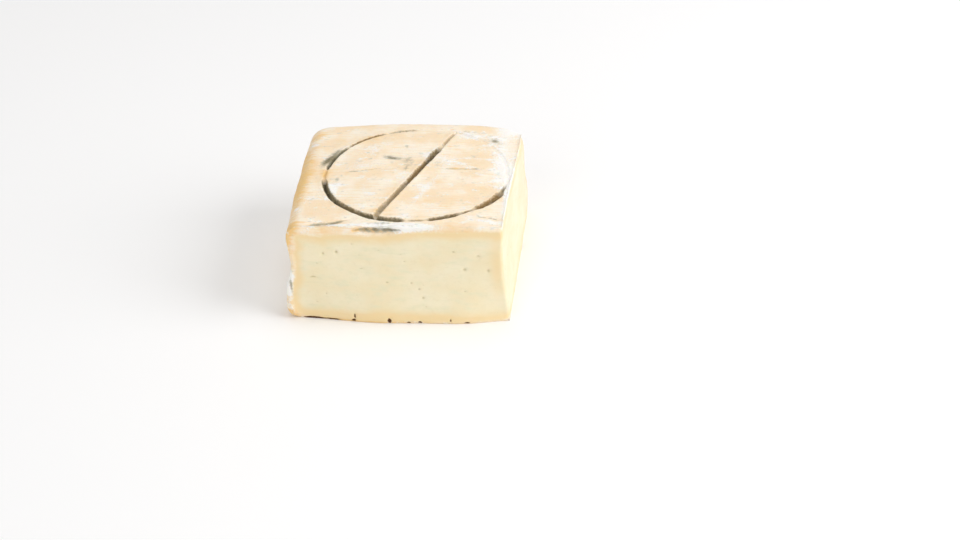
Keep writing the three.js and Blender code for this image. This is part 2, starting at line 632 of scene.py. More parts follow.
PATCHES = (
    # Grey-green mould: smeared outwards from the ring's left, in streaks inside it and at its back right.
    *on_top(
        Tone.GREY,
        (-36.9, 14.6, 2.8, 8.0, 0.95, -27),
        (-40.4, 10.5, 3.0, 6.0, 0.50, -15),
        (-35.4, 21.5, 1.9, 4.5, 0.50, -35),
        (-8.6, 14.6, 6.0, 1.9, 1.15, -16, 0.3),
        (-17.0, 19.0, 2.0, 1.5, 0.60, 0, 0.1),
        (-2.7, 25.5, 1.2, 1.8, 0.85),
        (0.0, 11.0, 3.4, 7.0, 0.62),
        (-0.5, 4.0, 1.4, 3.0, 0.60),
        (-32.0, -6.0, 1.4, 2.4, 0.80),
        (-31.0, -22.0, 1.6, 6.0, 0.35, 35),
        (39.2, 32.8, 2.0, 2.6, 0.66, 0, 0.1),
        (42.5, 29.5, 3.0, 2.0, 0.42),
        (36.0, 34.5, 7.0, 4.0, 0.42, -15),
        (26.0, 41.0, 6.0, 1.2, 0.62, -10, 0.15),
        (48.0, -12.5, 1.1, 1.5, 0.70),
        (48.3, -20.0, 0.7, 0.9, 0.75),
        (14.0, 8.0, 2.8, 4.5, 0.50),
        (-5.5, -46.6, 8.5, 1.5, 0.70),
        (-15.0, -2.0, 1.4, 2.0, 0.40),
    ),
    # White bloom: pale bands beside the creases, and most of the right-hand side. The strip along the top's
    # right edge is partly painted light, lifting a shadow line at that edge.
    *on_top(
        Tone.WHITE,
        (42.0, -43.5, 9.0, 1.5, 0.70, -12),
        (-33.0, -16.0, 3.0, 9.0, 0.70, 8),
        (44.5, 10.0, 5.0, 24.0, 0.75, 4),
        (30.0, 36.0, 16.0, 5.0, 0.50, -12),
        (-22.0, 6.0, 11.0, 5.0, 0.45),
        (16.0, 12.0, 9.0, 8.0, 0.45),
        (10.5, -16.0, 2.4, 20.0, 0.55, -20),
        (-38.0, -34.0, 6.0, 9.0, 0.22, 40),
        # Painted light: paler along the top's right edge over a shadow line there, partly bloom.
        (49.6, -18.0, 1.8, 30.0, 0.90),
        (46.0, 44.0, 7.0, 7.0, 0.75),
        (-17.0, -16.0, 4.0, 8.0, 0.35),
    ),
    # Warm, drier rind: the left strip, the corners, and stains inside the ring.
    *on_top(
        Tone.WARM,
        (-47.5, -8.0, 3.8, 34.0, 0.90),
        (-48.5, -48.5, 4.5, 4.0, 0.90),
        (-46.0, 38.0, 5.0, 3.5, 0.85, 40),
        (-11.0, -36.0, 13.0, 3.2, 0.60, -8),
        (-38.4, -1.5, 2.0, 4.0, 1.15),
        (24.0, -28.0, 13.0, 6.0, 0.35),
        (33.0, 0.0, 8.0, 10.0, 0.25),
        (17.3, 43.0, 1.7, 1.2, 0.85, 0, 0.2),
        (18.6, 26.0, 3.6, 1.1, 0.80),
        (-20.0, 34.0, 14.0, 4.0, 0.35, 12),
    ),
    *on_top(
        Tone.BROWN,
        (17.3, 43.0, 0.8, 0.8, 0.55),
        (18.6, 25.6, 1.7, 0.45, 0.62),
    ),
    # White bloom on the lip at the front, on the left end of the front and on the rind sides. The last patch
    # also draws the back right corner in.
    Patch(Tone.WHITE, 6.0, -49.6, 47.6, (13.0, 3.2, 2.2), 1.30, 0.0, -0.7),
    Patch(Tone.WHITE, -4.0, -48.0, 48.0, (15.0, 2.0, 2.5), 0.80, 0.0, -0.2),
    Patch(Tone.WHITE, -33.0, -48.6, 48.4, (13.0, 1.1, 1.3), 0.80, 6.0, -0.1),
    Patch(Tone.WHITE, -50.9, -50.5, 18.5, (2.4, 8.0, 5.5), 2.60, 0.0, -0.4),
    Patch(Tone.WHITE, -51.5, 1.0, 34.0, (4.0, 26.0, 5.0), 0.80),
    Patch(Tone.WHITE, -51.5, 24.0, 12.0, (4.0, 14.0, 6.0), 0.80),
    Patch(Tone.WHITE, -51.5, -24.0, 8.0, (4.0, 12.0, 4.0), 0.60),
    Patch(Tone.WHITE, 20.0, 52.5, 30.0, (22.0, 4.0, 7.0), 0.85),
    Patch(Tone.WHITE, -24.0, 52.5, 14.0, (15.0, 4.0, 6.0), 0.80),
    Patch(Tone.WHITE, 51.5, 50.5, 47.0, (5.0, 8.0, 6.0), 0.50, 0.0, 2.0),
    # Grey mould on the left end of the front.
    Patch(Tone.GREY, -49.4, -50.5, 17.0, (0.8, 4.0, 4.5), 1.00),
    # Warm rind along the edges and the foot, and riper paste along the right edge of the front. Along the
    # foot of the front the warm tan is partly riper paste and partly painted shade and warm bounce light.
    # The patch at the front right corner's foot draws it in.
    Patch(Tone.WARM, -51.0, -50.5, 39.5, (4.0, 6.0, 7.5), 1.00),
    Patch(Tone.WARM, -51.0, -50.5, 4.5, (4.0, 7.0, 5.0), 0.95, 0.0, -1.6),
    Patch(Tone.WARM, -51.5, -4.0, 43.5, (3.5, 42.0, 5.0), 1.00),
    Patch(Tone.WARM, 30.0, -51.0, 46.0, (17.0, 5.0, 3.0), 0.55),
    Patch(Tone.WARM, -34.0, -51.0, 46.0, (15.0, 5.0, 2.5), 0.60),
    Patch(Tone.WARM, -52.0, -4.0, 2.0, (5.0, 50.0, 4.0), 0.80),
    Patch(Tone.WARM, 0.0, 52.5, 2.0, (50.0, 5.0, 4.0), 0.80),
    Patch(Tone.WARM, -52.0, 6.0, 22.0, (4.0, 22.0, 3.5), 0.55),
    Patch(Tone.WARM, 4.0, 52.5, 22.0, (26.0, 4.0, 3.5), 0.55),
    Patch(Tone.WARM, 52.5, -54.0, 0.5, (4.0, 4.5, 4.5), 0.05, 0.0, 1.1),
    Patch(Tone.WARM, 46.5, -50.5, 28.0, (3.0, 3.0, 17.0), 0.75),
    # Painted shade and warm bounce light along the foot of the front, partly riper paste by the underside's
    # rind.
    Patch(Tone.WARM, -6.0, -54.0, 0.0, (46.0, 6.0, 5.0), 1.15),
    Patch(Tone.WARM, -18.2, -51.0, 46.0, (1.9, 4.0, 1.1), 0.85),
    # Brown crust from the underside, caught in cracks along the foot of the two cut faces.
    *at_foot(
        (-20.9, 0.7, 1.0, 0.9, 1.40, 0.7),
        (-20.2, 3.2, 0.6, 1.6, 1.05, 0.5),
        (-4.0, 1.3, 1.0, 1.6, 1.50, 0.8),
        (5.0, 0.4, 1.4, 0.7, 1.20, 0.4),
        (10.3, 0.6, 1.3, 0.9, 1.25, 0.5),
        (24.5, 2.0, 0.6, 1.3, 1.00, 0.4),
        (32.2, 0.4, 1.6, 0.7, 1.25, 0.5),
    ),
    # Painted contact shadow under the left end of the front's foot, partly brown crust of the underside.
    Patch(Tone.BROWN, -40.5, -53.2, 0.3, (5.5, 4.5, 0.9), 1.35, 0.0, 0.5),
    Patch(Tone.BROWN, -30.5, -54.2, 0.2, (5.0, 4.5, 0.7), 1.20, 0.0, 0.4),
    Patch(Tone.BROWN, 52.5, -18.0, 0.3, (4.0, 1.6, 0.8), 1.20, 0.0, 0.4),
    Patch(Tone.BROWN, 52.5, 15.0, 0.3, (4.0, 2.2, 0.7), 1.20, 0.0, 0.4),
)


@dataclass(frozen=True)
class Crease:
    """A fold or a mat's line, sunk along a short run of points, in millimetres.

    Args:
        points: the places that it runs through.
        half_width: reach to each side.
        sunk: how deep it is.
        grey: how much grey mould lies in it; under the front's lip this grey is painted shade.
        brown: how much of its tint is warm.
    """

    points: tuple[tuple[float, float, float], ...]
    half_width: float
    sunk: float
    grey: float
    brown: float

    def reading(self, p: Vector) -> float:
        """Say how near a point is to the crease's line.

        Args:
            p: the point.

        Returns:
            1 on the line, 0 far from it, fading towards both ends.
        """
        best, run, total = 0.0, 0.0, self.length()
        for start, end in zip(self.points, self.points[1:]):
            first, step = Vector(start), Vector(end) - Vector(start)
            share = clamp((p - first).dot(step) / step.length_squared)
            off = (p - first - step * share).length
            place = (run + share * step.length) / total
            taper = 0.25 + 0.75 * min(1.0, 4.0 * place, 4.0 * (1.0 - place))
            best = max(best, bell(off, 0.0, self.half_width * taper) * taper**0.5)
            run += step.length
        return best

    def length(self) -> float:
        """Add up the crease's length."""
        return sum((Vector(b) - Vector(a)).length for a, b in zip(self.points, self.points[1:]))


CREASES = (
    Crease(
        ((-42.0, -47.8, 48.0), (-36.0, -47.2, 48.0), (-29.5, -46.0, 48.0), (-22.0, -43.4, 48.0)),
        half_width=1.9, sunk=0.5, grey=1.0, brown=0.5,
    ),
    Crease(
        ((-30.0, -45.3, 48.0), (-21.0, -42.4, 48.0), (-16.5, -41.0, 48.0)),
        half_width=0.50, sunk=0.35, grey=0.45, brown=0.5,
    ),
    Crease(
        ((35.0, -38.8, 48.0), (43.0, -40.2, 48.0), (49.6, -42.8, 48.0)),
        half_width=0.85, sunk=0.60, grey=1.05, brown=0.6,
    ),
    # The crevice under the front's white lip: sunk, and painted darker olive-brown as the shade of the lip's
    # overhang, laid in through the grey and warm tones.
    Crease(
        ((-19.0, -50.4, 46.2), (-13.0, -50.2, 46.3), (-3.0, -50.2, 46.1), (3.0, -50.2, 46.5)),
        half_width=1.75, sunk=2.1, grey=1.12, brown=0.8,
    ),
    # A painted shadow line under the right end of the white lip, in grey and warm tint.
    Crease(
        ((-2.0, -50.6, 46.0), (8.0, -50.6, 46.2), (20.0, -50.4, 46.6)),
        half_width=0.9, sunk=0.6, grey=0.35, brown=0.9,
    ),
    Crease(
        ((-36.0, 1.2, 48.4), (-23.0, 1.7, 48.4), (-14.0, 3.8, 48.4), (0.0, 5.0, 48.4)),
        half_width=0.60, sunk=0.3, grey=0.85, brown=0.4,
    ),
    Crease(
        ((13.0, 4.3, 48.4), (26.0, 4.4, 48.4), (39.5, 4.5, 48.4)),
        half_width=0.60, sunk=0.3, grey=1.05, brown=0.7,
    ),
    Crease(
        ((-51.0, -42.0, 27.0), (-51.0, -9.0, 28.5), (-50.0, 28.0, 27.0)),
        half_width=0.9, sunk=0.5, grey=0.20, brown=0.9,
    ),
    Crease(
        ((-34.0, 53.0, 28.0), (0.0, 53.5, 29.0), (44.0, 53.0, 27.5)),
        half_width=0.9, sunk=0.5, grey=0.20, brown=0.9,
    ),
    Crease(
        ((-51.0, -24.0, 17.0), (-51.0, 0.0, 15.5), (-51.0, 16.0, 16.5)),
        half_width=0.7, sunk=0.35, grey=0.15, brown=0.7,
    ),
)


# A hole has nothing further off than this, in reaches squared.
EYE_END = 6.0


@dataclass(frozen=True)
class Eye:
    """A small hole in the paste, in millimetres, on the front or the right cut face.

    Args:
        on_front: True on the front, False on the right side.
        along: place of its middle along the face.
        z: height of its middle.
        reach_along: its reach along the face.
        reach_z: its reach up and down.
        sunk: how deep it is.
    """

    on_front: bool
    along: float
    z: float
    reach_along: float
    reach_z: float
    sunk: float

    def share(self, p: Vector) -> float:
        """Say how far inside the hole a point is, 0 to 1."""
        place = p.x if self.on_front else p.y
        away = ((place - self.along) / self.reach_along) ** 2 + ((p.z - self.z) / self.reach_z) ** 2
        return math.exp(-away) if away < EYE_END else 0.0


FRONT_EYES = [
    Eye(True, *place)
    for place in (
        (-33.5, 33.9, 0.75, 0.75, 0.55),
        (-27.3, 34.6, 0.85, 0.90, 0.75),
        (-38.8, 21.6, 2.30, 0.55, 0.50),
        (26.9, 35.0, 0.85, 0.70, 0.45),
        (38.1, 33.1, 1.10, 0.60, 0.45),
        (31.6, 25.9, 1.20, 0.90, 0.60),
        (42.5, 25.4, 1.00, 1.10, 0.55),
        (10.4, 16.6, 0.80, 0.60, 0.40),
        (-4.4, 19.6, 0.90, 0.50, 0.35),
        (12.1, 12.6, 0.70, 0.60, 0.40),
        (-16.0, 26.0, 1.30, 0.45, 0.30),
        (-20.0, 39.0, 0.60, 0.50, 0.30),
        (4.0, 30.0, 0.60, 0.50, 0.30),
    )
]


@dataclass(frozen=True)
class SmallEyes:
    """The many small holes that lie scattered over the cut faces, in millimetres.

    Args:
        front_count: how many lie in the front.
        right_count: how many lie in the right side.
        smallest: the smallest reach.
        largest: the largest reach.
        side_gap: how far from the ends of a face they stay.
        top_gap: how far below its top they stay.
        seed: which scatter it is.
    """

    front_count: int = 8
    right_count: int = 16
    smallest: float = 0.35
    largest: float = 0.8
    side_gap: float = 6.0
    top_gap: float = 8.0
    seed: int = 7

    def make(self, block: Block) -> list[Eye]:
        """Scatter the holes, the same way each time.

        Args:
            block: the cheese that they lie in.

        Returns:
            The holes of both cut faces.
        """
        dice = random.Random(self.seed)
        eyes = []
        for number in range(self.front_count + self.right_count):
            on_front = number < self.front_count
            reach = (block.half.x if on_front else block.half.y) - self.side_gap
            size = dice.uniform(self.smallest, self.largest)
            flat = dice.uniform(0.5, 1.0)
            place, z = dice.uniform(-reach, reach), dice.uniform(self.side_gap, block.height - self.top_gap)
            eyes.append(Eye(on_front, place, z, size, size * flat, 0.55 * size))
        return eyes


# Shares above which a facet lies near enough to a crease or a hole to be made finer.
NEAR_CREASE = 0.05
NEAR_EYE = 0.01

NO_CREASE = 0.01  # share under which a crease leaves nothing
STRONGEST = 1.5  # the most of one tone that the finish reads


@dataclass
class Cheese:
    """The piece of cheese: a block cut fine, settled and sculpted.

    Args:
        block: the block that it is made from.
        mark: the press mark on its top.
        cell: width of the plain facets, in millimetres, as all sizes here.
        refine_edge: how far from the cut faces' edges the facets are finer.
        refine_front: how far from the top edge of the front they are.
        refine_foot: how far above the foot of the front they are.
        refine_groove: how far from a groove's line they are.
        refine_wall: how far from a groove's line they are finer still.
        rind_thickness: the rind's thickness, as it shows round the cut faces.
        rind_left: how much thicker it is at the left end of the front.
        roll_left: how far the rind rolls over the top of the front at its left.
        roll_right: how far it does at its right.
        roll_middle: how much further it does in front of the ring.
        swell: height of the soft swells all over the surface.
        fold: height of the level folds in the rind's sides.
        wrinkle: height of the rind's fine wrinkles.
        knife: height of the knife's marks in the cut faces.
        uv_gap: gap between the sides in the piece's own map.
    """

    block: Block
    mark: PressMark
    cell: float = 0.95
    refine_edge: float = 2.6
    refine_front: float = 8.0
    refine_foot: float = 5.0
    refine_groove: float = 2.9
    refine_wall: float = 2.2
    rind_thickness: float = 0.9
    rind_left: float = 1.5
    roll_left: float = 3.9
    roll_right: float = 1.5
    roll_middle: float = 1.1
    swell: float = 0.32
    fold: float = 0.28
    wrinkle: float = 0.10
    knife: float = 0.05
    uv_gap: float = 1.5

    def __post_init__(self) -> None:
        """Gather the holes of both cut faces."""
        self.eyes = [*FRONT_EYES, *SmallEyes().make(self.block)]

    def build(self) -> bpy.types.Object:
        """Make the whole piece, without its finish.

        Returns:
            The object, at the origin, with its place in its mesh.
        """
        bm = bmesh.new()
        self.cut_block(bm)
        self.refine(bm)
        self.unfold(bm)
        self.shape(bm)
        self.sculpt(bm)
        mesh = bpy.data.meshes.new("cheese_body")
        bmesh.ops.scale(bm, vec=(MM, MM, MM), verts=bm.verts)
        bmesh.ops.translate(bm, vec=self.block.place, verts=bm.verts)
        bm.to_mesh(mesh)
        bm.free()
        mesh.polygons.foreach_set("use_smooth", [True] * len(mesh.polygons))
        piece = bpy.data.objects.new("cheese_body", mesh)
        bpy.context.scene.collection.objects.link(piece)
        return piece

    def cut_block(self, bm: bmesh.types.BMesh) -> None:
        """Make the plain block in even facets, standing on its underside.

        Args:
            bm: the empty mesh to fill.
        """
        size = self.block.half * 2
        bmesh.ops.create_cube(bm, size=1.0)
        bmesh.ops.scale(bm, vec=size, verts=bm.verts)
        for axis in range(3):
            edges = [e for e in bm.edges if abs(e.verts[0].co[axis] - e.verts[1].co[axis]) > size[axis] / 2]
            cuts = round(size[axis] / self.cell) - 1
            bmesh.ops.subdivide_edges(bm, edges=edges, cuts=cuts, use_grid_fill=True)

    def wants_detail(self, middle: Vector, normal: Vector) -> bool:
        """Say whether a facet of the plain block needs to be finer.

        Args:
            middle: the facet's middle, measured from the block's middle.
            normal: the way it faces.

        Returns:
            True where there is detail to hold.
        """
        half = self.block.half
        from_front, from_right = middle.y + half.y, half.x - middle.x
        if normal.z < -0.5:
            return min(from_front, from_right) < self.refine_edge
        if normal.z > 0.5:
            near_mark = self.mark.off(middle) < self.refine_groove
            spot = Vector((middle.x, middle.y, TOP))
            near_crease = any(crease.reading(spot) > NEAR_CREASE for crease in CREASES)
            near_edge = from_front < self.refine_front or from_right < self.refine_edge
            return near_mark or near_crease or near_edge
        at_end = self.refine_edge
        level = middle.z + half.z
        if normal.y < -0.5:
            near_edge = level < self.refine_foot or level > self.block.height - self.refine_front
            near_side = half.x - abs(middle.x) < at_end
            spot = Vector((middle.x, middle.y, level))
            return near_edge or near_side or any(e.on_front and e.share(spot) > NEAR_EYE for e in self.eyes)
        if normal.x > 0.5:
            near_edge = level < at_end or self.block.height - level < at_end
            near_side = half.y - abs(middle.y) < at_end
            spot = Vector((middle.x, middle.y, level))
            near_eye = any(not e.on_front and e.share(spot) > NEAR_EYE for e in self.eyes)
            return near_edge or near_side or near_eye
        return from_front < at_end if normal.x < -0.5 else from_right < at_end

    def refine(self, bm: bmesh.types.BMesh) -> None:
        """Halve the facets where the surface has detail, and halve them again in the mark's grooves.

        Args:
            bm: the plain block.
        """
        bm.normal_update()
        fine = [f for f in bm.faces if self.wants_detail(f.calc_center_median(), f.normal)]
        self.halve(bm, fine)
        tops = [f for f in bm.faces if f.normal.z > 0.5]
        self.halve(bm, [f for f in tops if self.mark.off(f.calc_center_median()) < self.refine_wall])

    def halve(self, bm: bmesh.types.BMesh, faces: list[bmesh.types.BMFace]) -> None:
        """Cut each of some facets in four.

        Args:
            bm: the plain block.
            faces: the facets to cut.
        """
        edges = list({edge for face in faces for edge in face.edges})
        bmesh.ops.subdivide_edges(bm, edges=edges, cuts=1, use_grid_fill=True, use_single_edge=True)
        bm.normal_update()

    def unfold(self, bm: bmesh.types.BMesh) -> None:
        """Lay the block's six sides out flat, side by side, as the piece's own map.

        Args:
            bm: the plain block.
        """
        bm.normal_update()
        layer = bm.loops.layers.uv.new(UV_NAME)
        half, gap = self.block.half, self.uv_gap
        tall = [2 * half.y, 2 * half.z, 2 * half.z]
        starts = [gap, 2 * gap + tall[0], 3 * gap + tall[0] + tall[1]]
        column = 2 * gap + 2 * half.x
        scale = 1.0 / (column + 2 * half.x + gap)
        for face in bm.faces:
            n = face.normal
            if abs(n.z) > 0.5:
                left, low, along, up = (gap if n.z > 0 else column), starts[0], 0, 1
            elif abs(n.y) > 0.5:
                left, low, along, up = gap, (starts[1] if n.y < 0 else starts[2]), 0, 2
            else:
                left, low, along, up = column, (starts[1] if n.x < 0 else starts[2]), 1, 2
            for loop in face.loops:
                co = loop.vert.co
                u = (left + co[along] + half[along]) * scale
                v = (low + co[up] + half[up]) * scale
                loop[layer].uv = (u, v)

    def shape(self, bm: bmesh.types.BMesh) -> None:
        """Round the block's edges, let it settle and stand it on its underside.

        Args:
            bm: the plain block. Its depth under the rind is kept as an attribute.
        """
        paste = bm.verts.layers.float.new(Layer.PASTE.value)
        half = self.block.half
        for vert in bm.verts:
            p = vert.co.copy()
            self.block.round_rind(p)
            depth = self.block.depth_in(p)
            self.block.round_cut(p, 0, 1, 1.0)
            self.block.round_cut(p, 1, 0, -1.0)
            vert[paste] = depth - self.rind_at(p)
            self.block.settle(p)
            vert.co = p + Vector((0.0, 0.0, half.z))

    def rind_at(self, p: Vector) -> float:
        """Say how thick the rind looks at a place of a cut face.

        Args:
            p: a point, measured from the block's middle.

        Returns:
            The thickness: more along the top of the front, where the soft rind rolls over the edge.
        """
        half = self.block.half
        top_front = smooth(0.0, 3.0, p.z + 10.0 - half.z + 4.0) * smooth(-half.y + 4.0, -half.y + 1.5, p.y)
        roll = self.roll_left + (self.roll_right - self.roll_left) * smooth(-40.0, 34.0, p.x)
        roll += self.roll_middle * bell(p.x, -6.0, 13.0)
        uneven = 1.0 + 0.25 * wander(p, 6.0, 6.0) + 0.10 * wander(p, 1.8, 6.5)
        thickness = self.rind_thickness + self.rind_left * smooth(8.0 - half.x, 3.0 - half.x, p.x)
        return (thickness + (roll - thickness) * top_front) * uneven

    def sculpt(self, bm: bmesh.types.BMesh) -> None:
        """Press in the mark, the creases and the holes, and leave the finish its attributes.

        Args:
            bm: the settled body.
        """
        bm.normal_update()
        keys = [key for key in (*Tone, *Layer) if key is not Layer.PASTE]
        layers = {key: bm.verts.layers.float.new(key.value) for key in keys}
        paste = bm.verts.layers.float[Layer.PASTE.value]
        moves = []
        for vert in bm.verts:
            p, n = vert.co, vert.normal
            sunk = self.skin(p, n, vert[paste])
            tones = dict.fromkeys(Tone, 0.0)
            for patch in PATCHES:
                share = patch.share(p)
                if share > 0.0:
                    tones[patch.tone] += patch.strength * share
                    sunk += patch.sunk * share
            sunk += self.crease(p, tones)
            for tone, value in tones.items():
                vert[layers[tone]] = min(value, STRONGEST)
            sunk += self.press(vert, n, layers)
            sunk += self.holes(vert, n, layers[Layer.EYE])
            above_underside = smooth(-0.95, -0.6, n.z)
            moves.append(n * -sunk * above_underside)
        for vert, move in zip(bm.verts, moves):
            vert.co += move
            vert.co.z = max(vert.co.z, 0.0)

    def skin(self, p: Vector, n: Vector, paste: float) -> float:
        """Read the surface's own soft unevenness.

        Args:
            p: a point of the surface.
            n: the way that it faces.
            paste: how deep it lies under the rind.

        Returns:
            How far the surface sinks there; below 0 it swells.
        """
        is_rind = smooth(0.6, -0.4, paste)
        swell = self.swell * (0.55 + 0.45 * is_rind) * wander(p, 21.0, 8.0)
        side = is_rind * smooth(0.75, 0.4, abs(n.z))
        wrinkle = self.wrinkle * is_rind * wander(Vector((p.x, p.y, p.z * (1.0 + 1.4 * side))), 2.6, 9.0)
        drawn = Vector((p.x * 0.18, p.y * 0.18, p.z * 1.3))
        knife = self.knife * (1.0 - is_rind) * wander(drawn, 2.2, 10.0)
        return swell + wrinkle + knife + side * self.fold * wander(Vector((p.x, p.y, p.z * 2.2)), 9.0, 11.0)

    def crease(self, p: Vector, tones: dict[Tone, float]) -> float:
        """Read the creases at a point and put down their mould, and under the front's lip their painted
        shade.

        Args:
            p: a point of the surface.
            tones: the point's tones, which are added to.

        Returns:
            How far the surface sinks there.
        """
        sunk = 0.0
        for crease in CREASES:
            share = crease.reading(p)
            if share > NO_CREASE:
                broken = 0.9 + 0.35 * wander(p, 2.5, 12.0)
                tones[Tone.GREY] += crease.grey * share * broken
                tones[Tone.WARM] += crease.brown * crease.grey * share
                sunk += crease.sunk * share
        return sunk

    def press(self, vert: bmesh.types.BMVert, n: Vector, layers: dict[Enum, object]) -> float:
        """Read the press mark at a vertex and leave its attributes.

        Args:
            vert: a vertex of the body.
            n: the way that it faces.
            layers: the mesh's attribute layers.

        Returns:
            How far the surface sinks there.
        """
        across, mould, brown, sunk = FAR_ACROSS, 0.0, 0.0, 0.0
        level = smooth(0.55, 0.9, n.z)
        if level > 0.0:
            reading = self.mark.reading(vert.co)
            across, mould, brown = reading.across, reading.mould * level, reading.brown
            sunk = reading.depth * level
        vert[layers[Layer.GROOVE]] = across
        vert[layers[Layer.MOULD]] = mould
        vert[layers[Layer.TAN]] = brown
        return sunk

    def holes(self, vert: bmesh.types.BMVert, n: Vector, layer: object) -> float:
        """Read the paste's small holes at a vertex and leave their attribute.

        Args:
            vert: a vertex of the body.
            n: the way that it faces.
            layer: the attribute layer for the holes.

        Returns:
            How far the surface sinks there.
        """
        on_front, on_right = n.y < -0.7, n.x > 0.7
        if not (on_front or on_right):
            return 0.0
        shares = [(eye.share(vert.co), eye.sunk) for eye in self.eyes if eye.on_front == on_front]
        vert[layer] = max(share for share, _ in shares)
        return sum(share * sunk for share, sunk in shares)


# The finish -----------------------------------------------------------------------------------------------


class NodeSheet:
    """Adds nodes to a material and links them, so that a finish reads as a sum.

    Args:
        material: the material to fill.
    """

    def __init__(self, material: bpy.types.Material) -> None:
        """Start on the material's own tree, with the object's coordinates to read from."""
        material.use_nodes = True
        self.tree = material.node_tree
        self.tree.nodes.clear()
        self.coordinates = self.tree.nodes.new("ShaderNodeTexCoord")

    def node(self, kind: str, settings: dict[str, object] | None = None) -> bpy.types.Node:
        """Add a node.

        Args:
            kind: its type in Blender.
            settings: its settings by name.

        Returns:
            The node.
        """
        made = self.tree.nodes.new(kind)
        for name, value in (settings or {}).items():
            setattr(made, name, value)
        return made

    def feed(self, socket: Socket, value: object) -> None:
        """Link a socket to another, or set its value."""
        if isinstance(value, Socket):
            self.tree.links.new(value, socket)
        else:
            socket.default_value = value

    def calculate(self, operation: str, first: object, second: object, kept: bool) -> Socket:
        """Add a Math node.

        Args:
            operation: what it does.
            first: its first number or socket.
            second: its second.
            kept: True keeps the result between 0 and 1.

        Returns:
            The result's socket.
        """
        made = self.node("ShaderNodeMath", {"operation": operation, "use_clamp": kept})
        self.feed(made.inputs[0], first)
        self.feed(made.inputs[1], second)
        return made.outputs[0]

    def plus(self, first: object, second: object, kept: bool = False) -> Socket:
        """Add two numbers or sockets; kept holds the result between 0 and 1."""
        return self.calculate("ADD", first, second, kept)

    def minus(self, first: object, second: object) -> Socket:
        """Take the second number or socket from the first."""
        return self.calculate("SUBTRACT", first, second, False)

    def times(self, first: object, second: object, kept: bool = False) -> Socket:
        """Multiply two numbers or sockets; kept holds the result between 0 and 1."""
        return self.calculate("MULTIPLY", first, second, kept)

    def larger(self, first: object, second: object) -> Socket:
        """Take the larger of two numbers or sockets."""
        return self.calculate("MAXIMUM", first, second, False)

    def step(self, value: object, start: float, end: float, low: float = 0.0, high: float = 1.0) -> Socket:
        """Add a soft step.

        Args:
            value: the socket to read.
            start: value at which it begins.
            end: value at which it ends; it may lie below start.
            low: result before the start.
            high: result past the end.

        Returns:
            The result's socket.
        """
        made = self.node("ShaderNodeMapRange", {"interpolation_type": "SMOOTHSTEP"})
        if start > end:
            start, end, low, high = end, start, high, low
        for socket, number in zip(made.inputs, (value, start, end, low, high)):
            self.feed(socket, number)
        return made.outputs[0]

    def place(self, size: float, stretch: tuple[float, float, float], seed: float) -> Socket:
        """Add the object's own coordinates, scaled for a pattern.

        Args:
            size: how wide one swell or cell of the pattern is, in millimetres.
            stretch: how much longer the swells or cells are along each axis.
            seed: moves the pattern, in swells or cells.

        Returns:
            The coordinates' socket.
        """
        made = self.node("ShaderNodeMapping")
        self.feed(made.inputs["Vector"], self.coordinates.outputs["Object"])
        made.inputs["Scale"].default_value = [1.0 / (size * MM * share) for share in stretch]
        made.inputs["Location"].default_value = (seed, 1.7 * seed, -seed)
        return made.outputs["Vector"]

    def noise(
        self, size: float, detail: float, stretch: tuple[float, float, float] = (1, 1, 1), seed: float = 0.0
    ) -> Socket:
        """Add noise on the object's own coordinates.

        Args:
            size: how wide one swell is, in millimetres.
            detail: how many finer octaves it has.
            stretch: how much longer the swells are along each axis.
            seed: moves the noise, in swells.

        Returns:
            The noise's socket, about 0 to 1.
        """
        made = self.node("ShaderNodeTexNoise")
        self.feed(made.inputs["Vector"], self.place(size, stretch, seed))
        made.inputs["Scale"].default_value = 1.0
        made.inputs["Detail"].default_value = detail
        return made.outputs["Fac"]

    def cells(self, size: float, stretch: tuple[float, float, float], seed: float) -> Socket:
        """Add the distance to scattered points on the object's own coordinates.

        Args:
            size: how far apart the points are, in millimetres.
            stretch: how much longer the cells are along each axis.
            seed: moves the points, in cells.

        Returns:
            The distance's socket, 0 at a point and about 0.5 between two.
        """
        made = self.node("ShaderNodeTexVoronoi")
        self.feed(made.inputs["Vector"], self.place(size, stretch, seed))
        made.inputs["Scale"].default_value = 1.0
        return made.outputs["Distance"]

    def attribute(self, name: Enum) -> Socket:
        """Read one of the mesh's attributes."""
        return self.node("ShaderNodeAttribute", {"attribute_name": name.value}).outputs["Fac"]

    def mix(self, share: object, first: object, second: object) -> Socket:
        """Mix two colours.

        Args:
            share: how much of the second there is, 0 to 1.
            first: a colour or its socket.
            second: a colour or its socket.

        Returns:
            The mixed colour's socket.
        """
        made = self.node("ShaderNodeMix", {"data_type": "RGBA"})
        self.feed(made.inputs[0], share)
        self.feed(made.inputs[6], first)
        self.feed(made.inputs[7], second)
        return made.outputs[2]

    def blend(self, share: object, first: object, second: object) -> Socket:
        """Mix two numbers.

        Args:
            share: how much of the second there is, 0 to 1.
            first: a number or its socket.
            second: a number or its socket.

        Returns:
            The mixed number's socket.
        """
        made = self.node("ShaderNodeMix", {"data_type": "FLOAT"})
        self.feed(made.inputs[0], share)
        self.feed(made.inputs[2], first)
        self.feed(made.inputs[3], second)
        return made.outputs[0]

    def broken(self, value: object, grain: object, reach: float, start: float, end: float) -> Socket:
        """Give a soft value a ragged edge.

        Args:
            value: the soft value's socket.
            grain: the noise that breaks it up.
            reach: how far the noise moves the edge.
            start: value at which the mask begins.
            end: value at which it is full.

        Returns:
            The mask's socket.
        """
        moved = self.times(self.minus(grain, 0.5), reach)
        return self.step(self.plus(value, moved), start, end)


@dataclass(frozen=True)
class Surface:
    """What a finish gives the shader: its colour, how rough it is and how high it stands."""

    colour: Socket
    rough: object
    height: object


